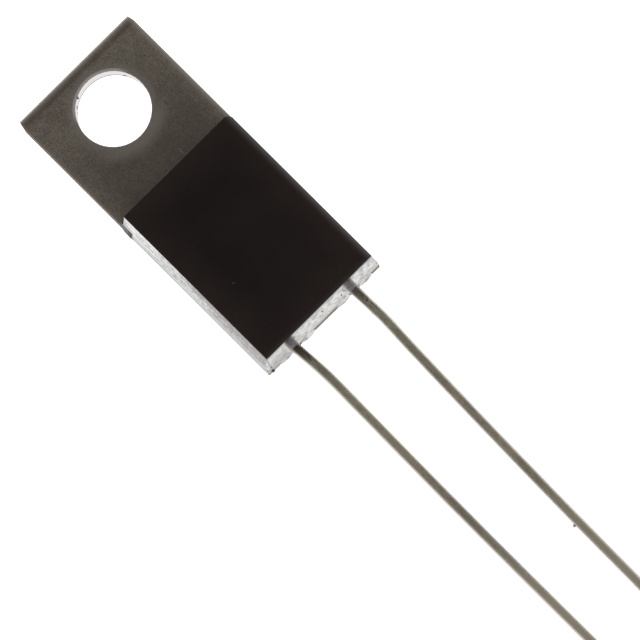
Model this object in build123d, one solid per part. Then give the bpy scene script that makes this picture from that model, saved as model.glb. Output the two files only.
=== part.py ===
from build123d import *
from math import atan, cos, degrees, radians, tan
import os

# Flat-tab temperature sensor. A film resistor chip is bonded to a punched metal tab, two round wire
# leads are soldered to its pads, and a black epoxy body is moulded over chip, lead roots and tab.
#
# Frame: millimetres. The origin is on the axis of the mounting hole, at the tab's flat back face.
# +X runs from the hole to the leads, +Y to the left of that, +Z from the back face to the body's top.

# Punched tab
tab_length = 16.72
tab_width = 7.26
tab_thickness = 1.27
corner_taper = 0.4          # far corners drawn in over this length
corner_step = 0.09          # and by this much at the far end
end_roll = 0.22             # radius that the punch leaves on the far end's upper edge
side_roll = 0.04            # the same on the two long edges
hole_diameter = 3.6
hole_edge_break = 0.03      # bevel round the hole's upper edge
hole_setback = 2.72         # far end of the tab to the hole's axis

# Moulded body
body_start = 4.25           # hole's axis to the foot of the body's back wall
body_height = 2.25          # above the tab's upper face
foot_depth = 0.06           # resin below that face, where it fills in over the rolled edges
left_margin = 0.05          # edge of the tab in to the foot of the body, +Y side
right_margin = 0.02         # the same on the -Y side
back_draft = 2.8            # degrees
front_draft = 2.0           # at the lead end
left_draft = 1.2
right_draft = 6.3
left_corner_radius = 0.3    # back corner on the +Y side
right_corner_radius = 0.07
crisp_edge_radius = 0.03    # upper edges

# Resin that bled out of the mould
flash_thickness = 0.03      # skin over the tab's -Y side, at its foot
flash_shoulder = 0.012      # its thickness at the tab's upper face
flash_foot = 0.2            # lower end of the skin above the back face
flash_rise = 0.35           # how far it climbs the body's wall
flash_setback = 0.03        # from the body's lead end to the end of the skin
gate_length = 0.7           # broken runner stub beside the tab
gate_reach = 0.06           # stub beyond the tab's edge
gate_rise = 0.5             # stub above the tab's upper face
gate_heel = 0.55            # height at which its outer face starts to lean in
gate_overhang = 0.05        # how far it starts before the body's back wall
lip_width = 0.92            # pillows of resin on both sides of each lead
lip_reach = 0.085
lip_foot = 0.12             # lower end of a pillow above the back face
lip_top = 0.1               # where its leaning face meets the body, above the tab's upper face
lip_offset = 0.72           # wire's axis to a pillow's middle
left_lip_shift = 0.055      # pair beside the left wire, moved towards +Y
right_lip_shift = 0.165

# Film resistor chip
chip_length = 5.5
chip_width = 5.2
chip_setback = 1.95         # lead end of the body back to the chip
substrate_thickness = 0.38
adhesive_thickness = 0.08
adhesive_border = 0.15
adhesive_corner_radius = 0.3
film_thickness = 0.03
film_line = 0.17
film_legs = 12
film_margin = 0.4           # chip's back edge to the film
pad_length = 1.1
pad_width = 1.1
pad_thickness = 0.04
pad_setback = 0.15          # chip's lead edge back to the pads
glass_thickness = 0.15
glass_margin = 0.2          # chip's edge to the glass
glass_gap = 0.1             # glass to the pads

# Leads
lead_diameter = 0.5
lead_pitch = 3.868
lead_free_length = 25.4     # straight reach beyond the body
lead_float = 0.04           # gap under the wire where it passes over the adhesive
coined_thickness = 0.25     # inner end pressed flat on its pad
coined_width = 0.7
coined_corner_radius = 0.15
coined_overhang = 0.12      # flat part past the chip's lead edge
coined_setback = 0.12       # pad's back edge to the wire's end
step_start = 0.35           # chip's lead edge to the downward step
step_length = 0.6
exit_straight = 0.1         # wire beyond the body before its first bend
solder_margin = 0.06
solder_cover = 0.08         # solder over the flat of the wire
solder_slope = 25           # degrees off vertical

# Sideways set of each wire: distance beyond the body, and shift from its exit towards +Y
left_set = [(2.2, 0.06), (3.4, -0.012), (8.2, -0.165), (14.2, -0.29)]
left_tip_shift = -0.39
right_set = [(2.0, 0.16), (11.6, 0.028)]
right_tip_shift = 0.065

# Places that follow from the sizes above
tab_end = tab_length - hole_setback
tab_edge = tab_width / 2
body_length = tab_end - body_start
body_foot = tab_thickness - foot_depth
body_top = tab_thickness + body_height
left_foot = tab_edge - left_margin
right_foot = right_margin - tab_edge
lead_radius = lead_diameter / 2
chip_front = tab_end - chip_setback
chip_back = chip_front - chip_length
adhesive_top = tab_thickness + adhesive_thickness
substrate_top = adhesive_top + substrate_thickness
film_top = substrate_top + film_thickness
pad_top = film_top + pad_thickness
pad_front = chip_front - pad_setback
pad_back = pad_front - pad_length
inner_lead_z = pad_top + coined_thickness / 2
outer_lead_z = adhesive_top + lead_float + lead_radius
trim_excess = 1.0           # how far a shape that only cuts or trims runs past what it cuts


def block(x_range, y_range, z_range):
    """Box between two limits along each axis."""
    size = [high - low for low, high in (x_range, y_range, z_range)]
    corner = (x_range[0], y_range[0], z_range[0])
    return Pos(*corner) * Box(*size, align=(Align.MIN, Align.MIN, Align.MIN))


def both_sides(distance):
    """Limits that lie evenly about the centre line."""
    return (-distance, distance)


def make_tab():
    """One punched plate: square at the lead end, drawn-in far corners, rolled upper edges."""
    far = -hole_setback
    outline = Polyline(
        (far, corner_step - tab_edge),
        (far + corner_taper, -tab_edge),
        (tab_end, -tab_edge),
        (tab_end, tab_edge),
        (far + corner_taper, tab_edge),
        (far, tab_edge - corner_step),
        close=True,
    )
    plate = extrude(make_face(outline), tab_thickness)
    plate -= Cylinder(hole_diameter / 2, 3 * tab_thickness)
    plate = chamfer(plate.edges().filter_by(GeomType.CIRCLE).sort_by(Axis.Z)[-1], hole_edge_break)
    rim = plate.faces().sort_by(Axis.Z)[-1].outer_wire().edges()
    plate = fillet(rim.filter_by(Axis.Y).sort_by(Axis.X)[0], end_roll)
    rim = plate.faces().sort_by(Axis.Z)[-1].outer_wire().edges()
    return fillet(rim.filter_by(Axis.X), side_roll)


def lean_in(draft, height):
    """How far a wall of this draft has moved in at this height above its foot."""
    return height * tan(radians(draft))


def body_block():
    """Block whose walls each have their own draft, with rounded back corners and crisp edges."""
    height = body_top - body_foot
    across = Polyline(
        (right_foot, body_foot),
        (left_foot, body_foot),
        (left_foot - lean_in(left_draft, height), body_top),
        (right_foot + lean_in(right_draft, height), body_top),
        close=True,
    )
    along = Polyline(
        (body_start, body_foot),
        (tab_end, body_foot),
        (tab_end - lean_in(front_draft, height), body_top),
        (body_start + lean_in(back_draft, height), body_top),
        close=True,
    )
    end_on = Plane(origin=(body_start - trim_excess, 0, 0), x_dir=(0, 1, 0), z_dir=(1, 0, 0))
    side_on = Plane(origin=(0, tab_edge + trim_excess, 0), x_dir=(1, 0, 0), z_dir=(0, -1, 0))
    shape = extrude(end_on * make_face(across), body_length + 2 * trim_excess)
    shape &= extrude(side_on * make_face(along), tab_width + 2 * trim_excess)

    def back_corner(side):
        standing = [edge for edge in shape.edges() if abs(edge.tangent_at(0).Z) > 0.9]
        return min(standing, key=lambda edge: edge.center().X - side * edge.center().Y)

    shape = fillet(back_corner(1), left_corner_radius)
    shape = fillet(back_corner(-1), right_corner_radius)
    return fillet(shape.faces().sort_by(Axis.Z)[-1].edges(), crisp_edge_radius)


def side_flash():
    """Skin of resin that bled over the tab's -Y side and up against the body's wall."""
    wall = right_foot + lean_in(right_draft, flash_rise + foot_depth)
    inside = wall + trim_excess
    profile = Polyline(
        (-tab_edge - flash_thickness, flash_foot),
        (-tab_edge - flash_shoulder, tab_thickness - side_roll),
        (wall, tab_thickness + flash_rise),
        (inside, tab_thickness + flash_rise),
        (inside, flash_foot),
        close=True,
    )
    section = Plane(origin=(body_start, 0, 0), x_dir=(0, 1, 0), z_dir=(1, 0, 0)) * make_face(profile)
    return extrude(section, body_length - flash_setback)


def gate_stub():
    """Rough stub where the runner was broken off, low on the -Y side next to the open tab."""
    start = body_start - gate_overhang
    wall = right_foot + lean_in(right_draft, gate_rise + foot_depth)
    inside = wall + gate_reach
    crest = tab_thickness + gate_rise
    outline = Polyline(
        (start, inside),
        (start, -tab_edge),
        (start + 0.2 * gate_length, -tab_edge - 0.8 * gate_reach),
        (start + 0.55 * gate_length, -tab_edge - 0.9 * gate_reach),
        (start + 0.8 * gate_length, -tab_edge - gate_reach),
        (start + gate_length, -tab_edge),
        (start + gate_length, inside),
        close=True,
    )
    profile = Polyline(
        (inside, flash_foot),
        (-tab_edge - gate_reach, flash_foot),
        (-tab_edge - gate_reach, gate_heel),
        (wall, crest),
        (inside, crest),
        close=True,
    )
    section = Plane(origin=(start, 0, 0), x_dir=(0, 1, 0), z_dir=(1, 0, 0)) * make_face(profile)
    return extrude(section, gate_length) & extrude(make_face(outline), body_top)


def end_lip(centre_y):
    """Pillow of resin on the lead end: an upright round bulge that leans in as it rises."""
    across = (lip_width**2 / 4 + lip_reach**2) / (2 * lip_reach)
    height = tab_thickness + lip_top - lip_foot
    lean = degrees(atan(lip_reach / height))
    bulge = Rot(0, -lean, 0) * Cylinder(across, 4 * height)
    bulge = Pos(tab_end + lip_reach - across / cos(radians(lean)), centre_y, lip_foot) * bulge
    slab = block(
        (tab_end - 2 * lip_reach, tab_end + 2 * lip_reach),
        (centre_y - lip_width, centre_y + lip_width),
        (lip_foot, tab_thickness + lip_top),
    )
    return bulge & slab


def end_lips():
    """A pillow on each side of each lead."""
    left = lead_pitch / 2 + left_lip_shift
    right = right_lip_shift - lead_pitch / 2
    return [end_lip(middle + side * lip_offset) for middle in (right, left) for side in (-1, 1)]


def make_adhesive():
    """Thin bond line under the chip, squeezed out a little all round."""
    bond = block(
        (chip_back - adhesive_border, chip_front + adhesive_border),
        both_sides(chip_width / 2 + adhesive_border),
        (tab_thickness, adhesive_top),
    )
    return fillet(bond.edges().filter_by(Axis.Z), adhesive_corner_radius)


def make_substrate():
    """Diced ceramic plate."""
    return block((chip_back, chip_front), both_sides(chip_width / 2), (adhesive_top, substrate_top))


def flat_patch(x_range, y_range):
    """Rectangle on the substrate's upper face."""
    centre = (sum(x_range) / 2, sum(y_range) / 2)
    return Pos(*centre) * Rectangle(x_range[1] - x_range[0], y_range[1] - y_range[0])


def make_film():
    """Meandering resistor track that starts and ends in a land under each pad."""
    step = lead_pitch / (film_legs - 1)
    far = chip_back + film_margin
    near = pad_back - glass_gap - film_margin
    half_line = film_line / 2
    rows = [(leg - (film_legs - 1) / 2) * step for leg in range(film_legs)]
    track = Sketch()
    for leg, y in enumerate(rows):
        end = pad_front if leg in (0, film_legs - 1) else near
        track += flat_patch((far, end), (y - half_line, y + half_line))
    for leg in range(film_legs - 1):
        bend = (far, far + film_line) if leg % 2 == 0 else (near - film_line, near)
        track += flat_patch(bend, (rows[leg] - half_line, rows[leg + 1] + half_line))
    for side in (-1, 1):
        middle = side * lead_pitch / 2
        track += flat_patch((pad_back, pad_front), (middle - pad_width / 2, middle + pad_width / 2))
    return extrude(Pos(0, 0, substrate_top) * track, film_thickness)


def make_pad(side):
    """Printed contact pad on the track's land."""
    middle = side * lead_pitch / 2
    y_range = (middle - pad_width / 2, middle + pad_width / 2)
    return block((pad_back, pad_front), y_range, (film_top, pad_top))


def make_glass(film):
    """Glaze fired over the track, with the pads left open."""
    x_range = (chip_back + glass_margin, pad_back - glass_gap)
    y_range = both_sides(chip_width / 2 - glass_margin)
    z_range = (substrate_top, substrate_top + glass_thickness)
    return block(x_range, y_range, z_range) - film


def bend_radius(before, corner, after):
    """Largest easy radius that its two straight runs leave room for."""
    run_in = Vector(*corner) - Vector(*before)
    run_out = Vector(*after) - Vector(*corner)
    half_turn = radians(run_in.get_angle(run_out)) / 2
    return 0.45 * min(run_in.length, run_out.length) / tan(half_turn)


def make_lead(side, sideways_set, tip_shift):
    """Round wire: coined flat on its pad, stepped down, then out of the body to its free tip."""
    exit_y = side * lead_pitch / 2
    step_x = chip_front + step_start
    route = [
        (chip_front + coined_overhang / 2, exit_y, inner_lead_z),
        (step_x, exit_y, inner_lead_z),
        (step_x + step_length, exit_y, outer_lead_z),
        (tab_end + exit_straight, exit_y, outer_lead_z),
    ]
    route += [(tab_end + along, exit_y + shift, outer_lead_z) for along, shift in sideways_set]
    route.append((tab_end + lead_free_length, exit_y + tip_shift, outer_lead_z))
    radii = [bend_radius(*route[place - 1:place + 2]) for place in range(1, len(route) - 1)]
    path = FilletPolyline(*route, radius=radii)
    section = Plane(origin=path @ 0, z_dir=path % 0) * Circle(lead_radius)
    wire = sweep(section, path=path)

    flat = block(
        (pad_back + coined_setback, chip_front + coined_overhang),
        (exit_y - coined_width / 2, exit_y + coined_width / 2),
        (pad_top, pad_top + coined_thickness),
    )
    flat = fillet(flat.edges().filter_by(Axis.Z), coined_corner_radius)
    return wire + flat


def make_solder(side, lead):
    """Sloping mound of solder that holds the flat of the wire on its pad."""
    height = coined_thickness + solder_cover
    middle = ((pad_back + pad_front) / 2, side * lead_pitch / 2, pad_top)
    foot = Pos(*middle) * Rectangle(pad_length - 2 * solder_margin, pad_width - 2 * solder_margin)
    return extrude(foot, height, taper=solder_slope) - lead


def make_body(tab, inside):
    """Epoxy moulded round everything that it holds."""
    resin = body_block() + side_flash() + gate_stub() + end_lips()
    resin -= tab
    for piece in inside:
        resin -= piece
    return resin


tab = make_tab()
adhesive = make_adhesive()
substrate = make_substrate()
film = make_film()
glass = make_glass(film)
lead_left = make_lead(1, left_set, left_tip_shift)
lead_right = make_lead(-1, right_set, right_tip_shift)
pieces = {
    "chip_adhesive": adhesive,
    "chip_substrate": substrate,
    "resistor_film": film,
    "glass_cover": glass,
    "contact_pad_left": make_pad(1),
    "contact_pad_right": make_pad(-1),
    "lead_left": lead_left,
    "lead_right": lead_right,
    "solder_joint_left": make_solder(1, lead_left),
    "solder_joint_right": make_solder(-1, lead_right),
}
pieces["moulded_body"] = make_body(tab, pieces.values())
pieces["mounting_tab"] = tab

os.makedirs("parts", exist_ok=True)
for name, piece in pieces.items():
    export_step(piece, f"parts/{name}.step")
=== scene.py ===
import functools
import math
import random

import bmesh
import bpy
from mathutils import Matrix, Vector


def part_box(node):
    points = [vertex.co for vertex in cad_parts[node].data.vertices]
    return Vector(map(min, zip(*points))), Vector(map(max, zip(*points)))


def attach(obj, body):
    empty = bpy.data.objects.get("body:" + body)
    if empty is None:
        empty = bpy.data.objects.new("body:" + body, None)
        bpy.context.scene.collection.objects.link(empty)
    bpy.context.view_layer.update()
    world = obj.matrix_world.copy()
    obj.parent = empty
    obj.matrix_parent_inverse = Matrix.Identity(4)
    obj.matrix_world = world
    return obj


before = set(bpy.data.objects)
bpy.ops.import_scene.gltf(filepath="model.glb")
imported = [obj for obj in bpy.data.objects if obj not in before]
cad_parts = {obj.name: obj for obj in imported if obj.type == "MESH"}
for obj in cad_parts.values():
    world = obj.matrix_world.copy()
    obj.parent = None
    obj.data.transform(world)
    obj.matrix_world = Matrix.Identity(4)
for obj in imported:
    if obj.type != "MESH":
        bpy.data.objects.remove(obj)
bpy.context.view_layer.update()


# ---- Camera, bench and light --------------------------------------------------------------------
# The sensor lies flat on a bench of lit white acrylic, under a dim ceiling. The camera hangs
# almost straight above it on a long lens, tipped a little towards the leads.

view_azimuth = math.radians(72.6)
view_elevation = math.radians(80.57)
view_roll = math.radians(44.87)
view_distance = 0.8
view_width = 0.02988
sensor_width = 36
aim = Vector((0.014, -0.000184, 0.00127))

level = math.cos(view_elevation)
towards_camera = Vector(
    (math.sin(view_azimuth) * level, -math.cos(view_azimuth) * level, math.sin(view_elevation))
)
along = (Vector((1, 0, 0)) - towards_camera * towards_camera.x).normalized()
across = towards_camera.cross(along)
right = along * math.cos(view_roll) + across * math.sin(view_roll)
upwards = towards_camera.cross(right)
camera_place = Matrix((right, upwards, towards_camera)).transposed().to_4x4()
camera_place.translation = aim + towards_camera * view_distance

camera = bpy.data.objects.new("camera", bpy.data.cameras.new("camera"))
camera.data.sensor_width = sensor_width
camera.data.lens = sensor_width * view_distance / view_width
camera.data.clip_start = 0.05
camera.data.clip_end = 5
camera.matrix_world = camera_place
bpy.context.collection.objects.link(camera)
bpy.context.scene.camera = camera
bpy.context.scene.view_settings.view_transform = "Standard"

bench_size = 4
bench_middle = 0.018
bench_drop = 0.00002
bench_glow = 1.4

bm = bmesh.new()
bmesh.ops.create_grid(bm, x_segments=1, y_segments=1, size=bench_size / 2)
bmesh.ops.translate(bm, vec=(bench_middle, 0, -bench_drop), verts=bm.verts)
bench = bpy.data.objects.new("bench", bpy.data.meshes.new("bench"))
bm.to_mesh(bench.data)
bm.free()
bpy.context.collection.objects.link(bench)

# The acrylic glows evenly upwards, and is clear from below.
bench_material = bpy.data.materials.new("bench_acrylic")
bench_material.use_nodes = True
nodes, links = bench_material.node_tree.nodes, bench_material.node_tree.links
acrylic = nodes["Principled BSDF"]
acrylic.inputs["Base Color"].default_value = (0.1, 0.1, 0.1, 1)
acrylic.inputs["Roughness"].default_value = 0.6
acrylic.inputs["Emission Color"].default_value = (1, 1, 1, 1)
acrylic.inputs["Emission Strength"].default_value = bench_glow
facing = nodes.new("ShaderNodeNewGeometry")
clear = nodes.new("ShaderNodeBsdfTransparent")
from_above = nodes.new("ShaderNodeMixShader")
links.new(facing.outputs["Backfacing"], from_above.inputs[0])
links.new(acrylic.outputs[0], from_above.inputs[1])
links.new(clear.outputs[0], from_above.inputs[2])
links.new(from_above.outputs[0], nodes["Material Output"].inputs["Surface"])
bench.data.materials.append(bench_material)

# Light from the room, by height: 0 is straight down, 0.5 the horizon and 1 straight up.
ceiling_stops = [
    (0.0, (1.2, 1.2, 1.2, 1)),
    (0.49, (1.2, 1.2, 1.2, 1)),
    (0.53, (0.56, 0.55, 0.54, 1)),
    (0.6, (0.3, 0.295, 0.29, 1)),
    (0.7, (0.25, 0.244, 0.238, 1)),
    (0.88, (0.235, 0.23, 0.225, 1)),
    (1.0, (0.23, 0.225, 0.22, 1)),
]
room = bpy.data.worlds.new("studio")
room.use_nodes = True
bpy.context.scene.world = room
nodes, links = room.node_tree.nodes, room.node_tree.links
heading = nodes.new("ShaderNodeTexCoord")
height = nodes.new("ShaderNodeSeparateXYZ")
half = nodes.new("ShaderNodeMapRange")
half.inputs["From Min"].default_value = -1
half.inputs["From Max"].default_value = 1
ceiling = nodes.new("ShaderNodeValToRGB")
while len(ceiling.color_ramp.elements) < len(ceiling_stops):
    ceiling.color_ramp.elements.new(0.5)
for stop, (position, light) in zip(ceiling.color_ramp.elements, ceiling_stops):
    stop.position = position
    stop.color = light
links.new(heading.outputs["Generated"], height.inputs[0])
links.new(height.outputs["Z"], half.inputs["Value"])
links.new(half.outputs[0], ceiling.inputs["Fac"])
links.new(ceiling.outputs[0], nodes["Background"].inputs["Color"])


# ---- Mounting tab -------------------------------------------------------------------------------
# Copper alloy strip, punched to shape and dull nickel plated. The punch rolled its upper edges
# over and left the lower part of every cut edge rough. The body is moulded straight onto it.


class Layer:
    """One socket of a finish. Sums on it add Math nodes, and node() adds any other kind."""

    def __init__(self, tree, socket=None):
        self.tree = tree
        self.socket = socket

    def node(self, kind, settings=None, sockets=None, out=0):
        made = self.tree.nodes.new(kind)
        for name, value in (settings or {}).items():
            setattr(made, name, value)
        for name, value in (sockets or {}).items():
            if isinstance(value, Layer):
                self.tree.links.new(value.socket, made.inputs[name])
            else:
                made.inputs[name].default_value = value
        if isinstance(out, tuple):
            return tuple(Layer(self.tree, made.outputs[one]) for one in out)
        return Layer(self.tree, made.outputs[out])

    def sum(self, operation, first, second=0.0):
        return self.node("ShaderNodeMath", {"operation": operation}, {0: first, 1: second})

    def __add__(self, other):
        return self.sum("ADD", self, other)

    def __radd__(self, other):
        return self.sum("ADD", other, self)

    def __sub__(self, other):
        return self.sum("SUBTRACT", self, other)

    def __rsub__(self, other):
        return self.sum("SUBTRACT", other, self)

    def __mul__(self, other):
        return self.sum("MULTIPLY", self, other)

    def __neg__(self):
        return self.sum("MULTIPLY", self, -1.0)

    def __pow__(self, other):
        return self.sum("POWER", self, other)

    def __abs__(self):
        return self.sum("ABSOLUTE", self)

    def least(self, other):
        return self.sum("MINIMUM", self, other)

    def most(self, other):
        return self.sum("MAXIMUM", self, other)

    def held(self):
        """The value, kept from 0 to 1."""
        return self.most(0.0).least(1.0)

    def fade(self, start, end):
        """0 where the value is at start or before, 1 at end or past it, eased between."""
        return self.node(
            "ShaderNodeMapRange",
            {"interpolation_type": "SMOOTHSTEP"},
            {"Value": self, "From Min": start, "From Max": end},
        )

    def tint(self, first, second):
        """Colour that goes from the first to the second as the value goes from 0 to 1."""
        return self.node(
            "ShaderNodeMix", {"data_type": "RGBA"}, {0: self, 6: first, 7: second}, out=2
        )


def new_finish(name):
    """A material without nodes, and its surface's own coordinates in millimetres."""
    material = bpy.data.materials.new(name)
    material.use_nodes = True
    material.node_tree.nodes.clear()
    place = Layer(material.node_tree).node("ShaderNodeTexCoord", out="Object")
    mm = place.node("ShaderNodeVectorMath", {"operation": "SCALE"}, {0: place, "Scale": 1000.0})
    return material, mm


def axes(mm):
    """The x, y and z of a surface's coordinates, each by itself."""
    return mm.node("ShaderNodeSeparateXYZ", None, {0: mm}, out=("X", "Y", "Z"))


def grain(mm, size, detail=2.0, roughness=0.5, stretch=(1.0, 1.0, 1.0), shift=(0.0, 0.0, 0.0)):
    """Even noise from 0 to 1 whose blotches are about this many millimetres."""
    laid = mm.node("ShaderNodeMapping", None, {"Vector": mm, "Location": shift, "Scale": stretch})
    sockets = {"Vector": laid, "Scale": 1 / size, "Detail": detail, "Roughness": roughness}
    return mm.node("ShaderNodeTexNoise", None, sockets)


def spot(first, second, middle, radius, longer=1.0, strength=1.0):
    """A round mark about a point on a face, soft at its edge, stretched along the first axis."""
    reach = (((first - middle[0]) * (1 / longer)) ** 2 + (second - middle[1]) ** 2) ** 0.5
    return (1 - reach.fade(0.55 * radius, radius)) * strength


def spots(first, second, marks):
    """Several such marks, given by their middle, radius, stretch and strength."""
    return functools.reduce(Layer.most, [spot(first, second, *mark) for mark in marks])


def relief(height, strength, depth=0.00001):
    """The surface's normal, tilted by a height whose 0 to 1 is this many metres."""
    sockets = {"Strength": strength, "Distance": depth, "Height": height}
    return height.node("ShaderNodeBump", None, sockets)


def finish_with(material, node_names, holes=None, **sockets):
    """Ends a material in its shader and lays it on the named CAD nodes. Holes are painted dull
    dark shade.
    """
    bare = Layer(material.node_tree)
    sockets = {name.replace("_", " "): value for name, value in sockets.items()}
    shader = bare.node("ShaderNodeBsdfPrincipled", None, sockets)
    if holes:
        hollow_painted_shade = (0.045, 0.03, 0.024, 1)
        hollow = bare.node("ShaderNodeBsdfDiffuse", None, {"Color": hollow_painted_shade})
        shader = bare.node("ShaderNodeMixShader", None, {0: holes, 1: shader, 2: hollow})
    bare.node("ShaderNodeOutputMaterial", None, {"Surface": shader}, out=())
    for name in node_names:
        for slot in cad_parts[name].material_slots:
            slot.material = material


nickel = (0.6, 0.54, 0.46, 1)
nickel_dull = (0.275, 0.247, 0.206, 1)
nickel_shaded = (0.2, 0.178, 0.155, 1)
nickel_darkened = (0.22, 0.18, 0.15, 1)
nickel_painted_glow = (0.56, 0.52, 0.46, 1)
roll_highlight_colour = (0.98, 0.92, 0.84, 1)
scratch_bright = (0.9, 0.88, 0.84, 1)
sheared = (0.25, 0.225, 0.19, 1)
sheared_dark = (0.13, 0.115, 0.095, 1)
bore = (0.5, 0.46, 0.46, 1)
lip_highlight_colour = (0.95, 0.9, 0.88, 1)
end_bright = (0.62, 0.6, 0.55, 1)

tab_low, tab_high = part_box("mounting_tab")
tab_half = tab_high.y * 1000
tab_top = tab_high.z * 1000
tab_far = tab_low.x * 1000
tab_end = tab_high.x * 1000
hole_radius = 1.8
bevel_foot = tab_top - 0.03
far_roll = 0.3
highlight_width = 0.55

tab_metal, mm = new_finish("tab_metal")
x, y, z = axes(mm)
from_side = tab_half - abs(y)
from_far = x - tab_far
from_hole = (x * x + y * y) ** 0.5 - hole_radius
in_hole = (1 - from_hole.fade(0.02, 0.04)) * (1 - z.fade(bevel_foot - 0.005, bevel_foot + 0.005))
far_end = 1 - from_far.fade(far_roll - 0.1, far_roll)
lead_end = x.fade(tab_end - 0.03, tab_end - 0.01)
top_face = z.fade(tab_top - 0.1, tab_top - 0.02)

# The plating is cloudy and finely speckled. Painted shade greys it between the hole and the body.
cloudy = grain(mm, 1.3, detail=3.0, roughness=0.55)
mottle = grain(mm, 0.11, detail=3.0, roughness=0.6, shift=(3.0, 1.0, 0.0))
speckle = grain(mm, 0.045, detail=1.0)
crossed = grain(mm, 0.09, stretch=(0.2, 1.0, 1.0)) + grain(mm, 0.09, stretch=(1.0, 0.2, 1.0))
dulled = (cloudy * 0.16 + mottle * 0.22 + speckle * 0.42 + crossed * 0.1).fade(0.34, 0.66)
colour = dulled.tint(nickel, nickel_dull)
body_painted_shade = x.fade(-1.0, 2.6) * (1 - abs(y).fade(2.4, 3.5) * 0.7)
colour = (body_painted_shade * 0.5).tint(colour, nickel_shaded)

# The punch pressed a shallow band along the far end, whose shade is painted dark, and the end is
# darker still at its -Y corner.
far_band_painted_shade = (1 - far_end) * (1 - from_far.fade(0.42, 0.55))
far_corner = (1 - from_far.fade(0.3, 0.7)) * (-y).fade(1.6, 3.4)
far_end_darkening = far_band_painted_shade.most(far_corner) * cloudy.fade(0.0, 0.5)
colour = (far_end_darkening * 0.5).tint(colour, nickel_darkened)

# A painted glow lightens the rim and a ring round the hole, which is wider on its +X side.
painted_rim_glow = 1 - from_side.least(from_far - 0.1).fade(0.0, 0.25)
painted_hole_glow = (1 - from_hole.fade(0.0, 0.8)) ** 2
painted_hole_glow = painted_hole_glow.most((1 - from_hole.fade(0.2, 1.0)) * x.fade(0.6, 1.8))
colour = (painted_rim_glow.most(painted_hole_glow) * 0.8).tint(colour, nickel_painted_glow)

# Painted highlights brighten the rolled +Y edge and the lip of the hole on its -X side.
edge_roll_painted_highlight = ((y - (tab_half - highlight_width)) * (1 / highlight_width)).held() ** 3
colour = (edge_roll_painted_highlight * 0.85).tint(colour, roll_highlight_colour)
hole_lip_painted_highlight = (1 - from_hole.fade(0.08, 0.16)) * (-x).fade(0.6, 1.3) * (1 - in_hole)
colour = hole_lip_painted_highlight.tint(colour, lip_highlight_colour)

# Small marks from handling: three dark nicks, and a pale scratch beside the body.
nick_places = [((1.55, 1.94), 0.06, 3.2), ((-0.02, 3.17), 0.06, 0.8), ((3.39, -0.84), 0.05)]
nicks = spots(x, y, nick_places) * top_face
scratch = spot(x - y * 0.4, y, (3.33, 0.84), 0.022, 9.0) * top_face
colour = (nicks * 0.8).tint(colour, sheared)
colour = (scratch * 0.6).tint(colour, scratch_bright)

# Cut edges are torn and dull below the roll, scored by the punch and darker at the back face. The
# end under the leads was cut cleanly, apart from its foot, and is darker at its -Y corner.
cut_face = 1 - z.fade(tab_top - 0.04, tab_top - 0.01) * (1 - far_end) - z.fade(0.8, 1.0) * far_end
cut_face = cut_face * (1 - in_hole)
torn = cut_face * (1 - lead_end * z.fade(0.3, 1.1) * 0.95)
colour = lead_end.tint(colour, end_bright)
end_corner = lead_end * (-y).fade(2.3, 2.9)
colour = (end_corner * 0.4).tint(colour, nickel_darkened)
torn = torn * (1 - end_corner * 0.65)
scored = grain(mm, 0.07, detail=3.0, roughness=0.65, stretch=(1.0, 1.0, 0.08))
fractured = (1 - z.fade(0.25, 0.45)) * mottle.fade(0.3, 0.6)
torn_colour = scored.fade(0.35, 0.65).most(fractured).tint(sheared, sheared_dark)
colour = (torn * 0.9).tint(colour, torn_colour)

# The wall of the hole is smooth, but for burrs on its -X side and a broken edge at the back face.
colour = in_hole.tint(colour, bore)
burr_places = [
    ((1.15, -0.82), 0.09, 2.0),
    ((0.4, -1.12), 0.08, 3.5),
    ((0.1, -1.3), 0.08, 3.5),
    ((0.05, -1.54), 0.06, 3.5),
    ((0.15, 1.54), 0.07, 3.5),
]
# The burrs and the broken edge are painted as dark holes, standing in for their shade.
burrs = spots(z, y, burr_places) * (1 - x.fade(-0.9, -0.6))
breakout = (1 - z.fade(0.12, 0.3)) * (0.35 + mottle.fade(0.4, 0.6) * 0.4)

finish_with(
    tab_metal,
    ["mounting_tab"],
    holes=burrs.most(breakout) * in_hole,
    Base_Color=colour,
    Metallic=1 - torn.most(hole_lip_painted_highlight) * 0.9,
    Roughness=0.6 + dulled * 0.08 + torn * 0.1 - in_hole * 0.3,
    IOR=1.15,
    Normal=relief(
        mottle * 0.5 + speckle * 0.35 + crossed * 0.2 - nicks * 2.0 + torn * scored * 3.0, 0.4
    ),
)


# ---- Moulded body -------------------------------------------------------------------------------
# Black mineral-filled epoxy, transfer moulded round the chip, the lead roots and the tab. Its skin
# is smooth and glossy where it left the steel of the mould, and torn where the runner broke away.

resin = (0.011, 0.004, 0.004, 1)
resin_pale = (0.044, 0.028, 0.023, 1)
resin_torn = (0.22, 0.205, 0.2, 1)
resin_painted_lightening = (0.13, 0.127, 0.14, 1)
resin_edge_highlight = (0.5, 0.47, 0.45, 1)
mark_pale = (0.12, 0.11, 0.105, 1)

body_low, body_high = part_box("moulded_body")
body_top = body_high.z * 1000
body_back = body_low.x * 1000
body_half = 3.6
top_left, top_right, top_end = 3.58, -3.52, tab_end - 0.07
left_highlight_width, other_highlight_width = 0.56, 0.35
corner_y, corner_foot, corner_lean = -3.354, 0.24, 0.011
stub_end = body_back + 0.7
stub_top = tab_top + 0.5

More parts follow.
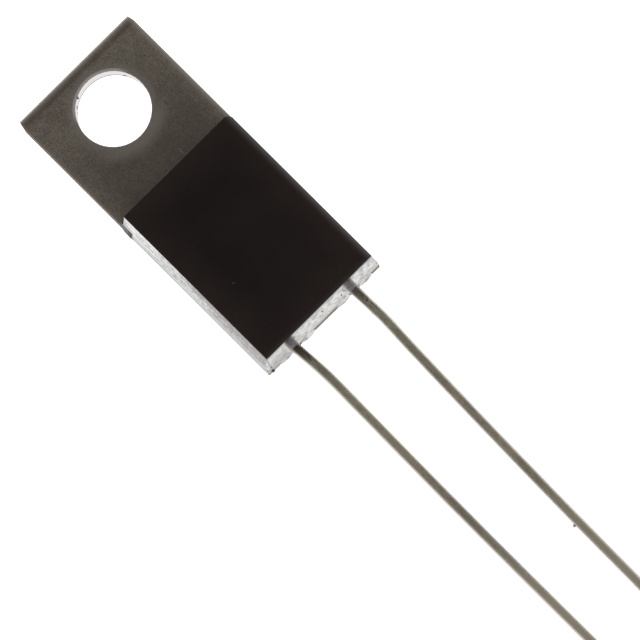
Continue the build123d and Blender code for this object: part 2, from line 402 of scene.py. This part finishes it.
body_epoxy, mm = new_finish("body_epoxy")
x, y, z = axes(mm)
wall = 1 - z.fade(body_top - 0.05, body_top - 0.01)
lead_end = x.fade(tab_end - 0.13, tab_end - 0.07)
gate_side = (1 - lead_end) * (-y).fade(3.2, 3.3)
cloudy = grain(mm, 2.5)
fine = grain(mm, 0.07, roughness=0.6)
streaks = grain(
    mm, 0.35, detail=4.0, roughness=0.65, stretch=(0.12, 1.0, 1.0), shift=(0.0, 0.0, 4.0)
)
smears = grain(mm, 0.3, detail=3.0, roughness=0.6, stretch=(1.0, 1.0, 0.4), shift=(1.0, 5.0, 2.0))
scuffs = grain(mm, 0.14, roughness=0.6, stretch=(0.8, 1.0, 0.35), shift=(2.0, 0.0, 6.0))

# The resin is black, with a faint random brown tone, and a painted glow lightens it towards its
# edges.
from_edge = (body_half - abs(y)).least(x - body_back).least(tab_end - x)
tone_and_edge_glow = (1 - from_edge.fade(0.0, 2.2)) * 0.7 + (cloudy * 0.6 + fine * 0.6).fade(0.35, 0.85) * 0.5
colour = tone_and_edge_glow.least(1.0).tint(resin, resin_pale)

# A painted highlight lightens the top's long +Y edge, and the others a little.
left_edge_painted_highlight = ((y - (top_left - left_highlight_width)) * (1 / left_highlight_width)).held() ** 3
other_edges_painted_highlight = (1 - (y - top_right).least(top_end - x) * (1 / other_highlight_width)).held() ** 2
colour = (left_edge_painted_highlight.most(other_edges_painted_highlight * 0.14) * (1 - wall)).tint(colour, resin_edge_highlight)

# Pits in the lead end, and nicks along the corner that it shares with the gate side, are painted
# dark as their shade.
pit_places = [
    ((1.93, 1.32), 0.065, 3.0),
    ((2.35, 0.12), 0.058, 3.0),
    ((1.6, 0.81), 0.035, 3.0, 0.5),
    ((2.75, -0.47), 0.03, 3.0, 0.5),
    ((3.2, -1.06), 0.03, 3.0, 0.5),
    ((1.35, -1.11), 0.035, 3.0, 0.5),
]
pits = spots(z, y, pit_places) * lead_end
corner = 1 - abs(y - corner_y + (z - corner_foot) * corner_lean).fade(0.02, 0.07)
corner_nicks = corner * (0.15 + fine.fade(0.4, 0.6) * 0.6)
pits = pits.most(corner_nicks.most(spot(z, y, (1.3, -3.38), 0.07, 3.0)) * lead_end * wall)

# The stub of the runner is torn open, so its filler shows as a grey crumb.
stub = (1 - x.fade(stub_end, stub_end + 0.08)) * (-y).fade(3.5, 3.56)
stub = stub * (1 - z.fade(stub_top - 0.1, stub_top))
crumb = grain(mm, 0.09, detail=3.0, roughness=0.7, shift=(7.0, 2.0, 3.0)).fade(0.3, 0.7)
colour = (stub * (0.45 + crumb * 0.55)).tint(colour, resin_torn)
# The back of the torn stub is painted dark shade as well.
pits = pits.most(stub * x.fade(stub_end - 0.35, stub_end - 0.15) * 0.55)

# Above each lead the resin flowed together late, and its skin stayed matt there; paler paint there
# stands in for light over the lead's dark reflection. A pale fleck is stuck to the top.
matt_flow_and_painted_light = spots(z, y, [((2.4, 1.78), 0.4, 3.0), ((2.4, -1.86), 0.4, 3.0)]) * lead_end
colour = (matt_flow_and_painted_light * smears.fade(0.25, 0.65)).tint(colour, resin_painted_lightening)
fleck = spot(x, y, (10.25, -1.93), 0.06) * (1 - wall)
colour = fleck.tint(colour, mark_pale)

# The gate side took its shine from the mould in streaks. It fades towards the leads, and comes and
# goes again along the upper part. A shinier line runs just above the tab, and the skirt of resin
# that bled down below it is dull.
above_skirt = z.fade(tab_top - 0.15, tab_top)
skirt = 1 - above_skirt
seam = above_skirt * (1 - z.fade(tab_top + 0.3, tab_top + 0.4))
upper = z.fade(2.2, 3.2) * (0.12 - x.fade(7.3, 8.6) * 0.3 + x.fade(11.5, 13.0) * 0.15)
side_shine = 0.48 - (x - 6.5) * 0.075 + (streaks - 0.5) * 3.4 + (scuffs - 0.5) * 2.2
side_shine = (side_shine + upper).held()
side_shine = (side_shine * above_skirt + seam * 0.62 + skirt * 0.15).least(1.0)

# The lead end shines more evenly, but is rubbed matt in three patches and along its crest, and the
# gate side is matt at its back corner.
end_shine = (0.63 + (smears - 0.5) * 3.0).held()
rubbed_places = [
    ((1.6, -2.8), 0.75, 1.6),
    ((1.3, -1.47), 0.35, 3.0, 0.8),
    ((0.9, -2.27), 0.4, 2.5),
]
rubbed = spots(z, y, rubbed_places) * lead_end * (0.35 + smears.fade(0.35, 0.65) * 0.65)
crest = z.fade(body_top - 0.6, body_top - 0.1) * lead_end
back_corner = (1 - (x + (z - 2.6) * 0.25).fade(4.3, 4.9)) * gate_side
shine = (lead_end * end_shine + gate_side * side_shine) * wall * (1 - stub) * (1 - matt_flow_and_painted_light * 0.1)
shine = shine * (1 - rubbed * 0.85) * (1 - crest * 0.9) * (1 - back_corner * 0.8)
dull = gate_side * ((1 - side_shine) * 0.14 + skirt * 0.04)
dull = dull + lead_end * ((1 - end_shine) * 0.1 + skirt * 0.05)

finish_with(
    body_epoxy,
    ["moulded_body"],
    holes=pits * 0.9,
    Base_Color=colour,
    Roughness=0.18 + cloudy * 0.08 + wall * (dull - 0.06) + stub * 0.5 + matt_flow_and_painted_light * 0.25,
    IOR=1.42,
    Coat_Weight=shine,
    Coat_Roughness=0.2,
    Normal=relief(fine * 0.4 + wall * (smears * 1.2 + streaks * 0.6) + stub * crumb * 6.0, 0.25),
)


# ---- Leads --------------------------------------------------------------------------------------
# Two round copper wires, hot tinned to a soft grey. Inside the body they are coined flat and
# soldered to the chip, and outside it they were bent a little by handling.

tin = (0.92, 0.825, 0.66, 1)
tin_dull = (0.55, 0.49, 0.39, 1)
tin_far = (0.98, 0.9, 0.73, 1)
tin_root = (0.32, 0.275, 0.22, 1)
tin_flank_painted_shade = (0.47, 0.45, 0.41, 1)
tin_fleck = (0.3, 0.27, 0.2, 1)
tin_clean = (0.88, 0.86, 0.92, 1)
root_stain = (0.12, 0.09, 0.065, 1)

lead_top = 1.89

lead_metal, mm = new_finish("lead_metal")
x, y, z = axes(mm)
from_body = x - tab_end
mottle = grain(mm, 0.12, detail=3.0, roughness=0.6, stretch=(0.35, 1.0, 1.0))
cloudy = grain(mm, 1.3, stretch=(0.5, 1.0, 1.0))
dulled = (cloudy * 0.55 + mottle * 0.45).fade(0.35, 0.65)
colour = dulled.tint(tin, tin_dull)

# The tin is darker near the body, and the right wire's most.
root = 1 - from_body.fade(0.2, 1.2)
colour = (root * 0.8).tint(colour, tin_root)
colour = ((1 - from_body.fade(0.5, 3.5)) * 0.25).tint(colour, tin_root)
right_root = (1 - from_body.fade(0.6, 1.5)) * (-y).fade(0.0, 1.0)
colour = (right_root * 0.7).tint(colour, root_stain)

# Dark flecks lie all along each wire, and towards its free end the tin is brighter.
flecks = grain(mm, 0.08, roughness=0.6, shift=(0.0, 3.0, 1.0)).fade(0.35, 0.65)
colour = (flecks * 0.3).tint(colour, tin_fleck)
colour = (from_body.fade(11, 18) * 0.7).tint(colour, tin_far)

# A narrow collar of clean tin shows where each wire leaves the body, and past it the wires are
# stained in patches.
collar = 1 - from_body.fade(0.13, 0.19)
colour = collar.tint(colour, tin_clean)
stained = mottle.fade(0.5, 0.62) * (1 - from_body.fade(0.7, 2.3)) * (1 - collar) * 0.8
stained = stained.most(spot(x, y, (14.99, 1.98), 0.06, 1.5))
colour = (stained * 0.75).tint(colour, root_stain)

# Painted shade darkens the flanks, leaving a lighter strip along the top of each wire.
colour = (1 - z.fade(lead_top - 0.1, lead_top - 0.02)).tint(colour, tin_flank_painted_shade)

finish_with(
    lead_metal,
    ["lead_left", "lead_right"],
    Base_Color=colour,
    Metallic=1.0,
    Roughness=0.3 + dulled * 0.1 + root * 0.1,
    Normal=relief(mottle, 0.3),
)


# ---- Sensing chip -------------------------------------------------------------------------------
# Sealed inside the moulding: a white ceramic plate bonded to the tab, its thin metal resistor
# under fired glass, two printed silver pads, and the solder that holds the coined wire ends.

ceramic = (0.86, 0.84, 0.79, 1)
ceramic_warm = (0.78, 0.74, 0.66, 1)
bond = (0.6, 0.6, 0.57, 1)
bond_dark = (0.42, 0.42, 0.4, 1)
film_metal = (0.58, 0.57, 0.54, 1)
film_dark = (0.4, 0.39, 0.36, 1)
glaze = (0.3, 0.42, 0.38, 1)
glaze_deep = (0.2, 0.32, 0.28, 1)
silver = (0.8, 0.78, 0.72, 1)
silver_dull = (0.6, 0.56, 0.48, 1)
tin_lead = (0.64, 0.64, 0.62, 1)
tin_lead_dull = (0.42, 0.42, 0.42, 1)

pads = ["contact_pad_left", "contact_pad_right"]
solder_joints = ["solder_joint_left", "solder_joint_right"]

# Name, pieces, fresh and aged colour, size of the grain in millimetres, metallic, roughness.
chip_finishes = [
    ("alumina", ["chip_substrate"], ceramic, ceramic_warm, 0.04, 0.0, 0.5),
    ("bond_adhesive", ["chip_adhesive"], bond, bond_dark, 0.08, 0.0, 0.7),
    ("metal_film", ["resistor_film"], film_metal, film_dark, 0.05, 1.0, 0.3),
    ("fired_glass", ["glass_cover"], glaze, glaze_deep, 0.3, 0.0, 0.08),
    ("pad_metal", pads, silver, silver_dull, 0.06, 1.0, 0.3),
    ("solder", solder_joints, tin_lead, tin_lead_dull, 0.15, 1.0, 0.25),
]
for name, node_names, fresh, aged, grain_size, metallic, roughness in chip_finishes:
    chip_finish, mm = new_finish(name)
    even = grain(mm, grain_size, detail=3.0, roughness=0.6)
    patchy = grain(mm, grain_size * 8)
    aging = (even * 0.5 + patchy * 0.5).fade(0.3, 0.7)
    finish_with(
        chip_finish,
        node_names,
        Base_Color=aging.tint(fresh, aged),
        Metallic=metallic,
        Roughness=aging * 0.15 + roughness,
        Normal=relief(even, 0.3),
    )


# ---- Burrs and corner chip ----------------------------------------------------------------------
# Small damage from making and handling: two burrs on the left wire, one in the edge of the hole,
# and a crumb of torn resin at the foot of the body's -Y corner.

burr_bright = (0.95, 0.86, 0.88, 1)
burr_dull = (0.7, 0.6, 0.62, 1)
chip_brown = (0.12, 0.075, 0.05, 1)
chip_dark = (0.05, 0.03, 0.022, 1)

burr_metal, mm = new_finish("burr_metal")
worn = grain(mm, 0.03, detail=3.0, roughness=0.6)
finish_with(
    burr_metal,
    [],
    Base_Color=worn.fade(0.3, 0.7).tint(burr_bright, burr_dull),
    Metallic=0.1,
    Roughness=0.5 + worn * 0.3,
    Normal=relief(worn, 0.5),
)

chip_resin, mm = new_finish("chip_resin")
crumb = grain(mm, 0.035, detail=3.0, roughness=0.7)
finish_with(
    chip_resin,
    [],
    Base_Color=crumb.fade(0.3, 0.7).tint(chip_brown, chip_dark),
    Roughness=0.6 + crumb * 0.3,
    Normal=relief(crumb, 0.6, depth=0.00002),
)

# Name, finish, middle and reach in millimetres, turn in degrees. Each is a lumpy ball.
crumbs = [
    ("burr_wire_near", burr_metal, (15.6, 1.745, 1.66), (0.04, 0.04, 0.05), 0),
    ("burr_wire_far", burr_metal, (29.36, 1.4, 1.64), (0.075, 0.12, 0.06), 35),
    ("burr_hole", tab_metal, (-1.575, -0.83, 1.2), (0.07, 0.045, 0.05), 27),
    ("corner_chip", chip_resin, (14.03, -3.37, 0.5), (0.08, 0.07, 0.22), 0),
]
lumpiness = 0.16
for seed, (name, finish, middle, reach, turn) in enumerate(crumbs):
    luck = random.Random(seed)
    place = (
        Matrix.Translation(Vector(middle) / 1000)
        @ Matrix.Rotation(math.radians(turn), 4, "Z")
        @ Matrix.Diagonal((*(Vector(reach) / 1000), 1))
    )
    bm = bmesh.new()
    bmesh.ops.create_icosphere(bm, subdivisions=3, radius=1.0)
    for vert in bm.verts:
        vert.co *= 1 + lumpiness * luck.random()
    bmesh.ops.smooth_vert(
        bm, verts=bm.verts, factor=0.5, use_axis_x=True, use_axis_y=True, use_axis_z=True
    )
    bmesh.ops.transform(bm, matrix=place, verts=bm.verts)
    bmesh.ops.recalc_face_normals(bm, faces=bm.faces)
    piece = bpy.data.objects.new(name, bpy.data.meshes.new(name))
    bm.to_mesh(piece.data)
    bm.free()
    piece.data.shade_smooth()
    piece.data.materials.append(finish)
    bpy.context.collection.objects.link(piece)
    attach(piece, "root")
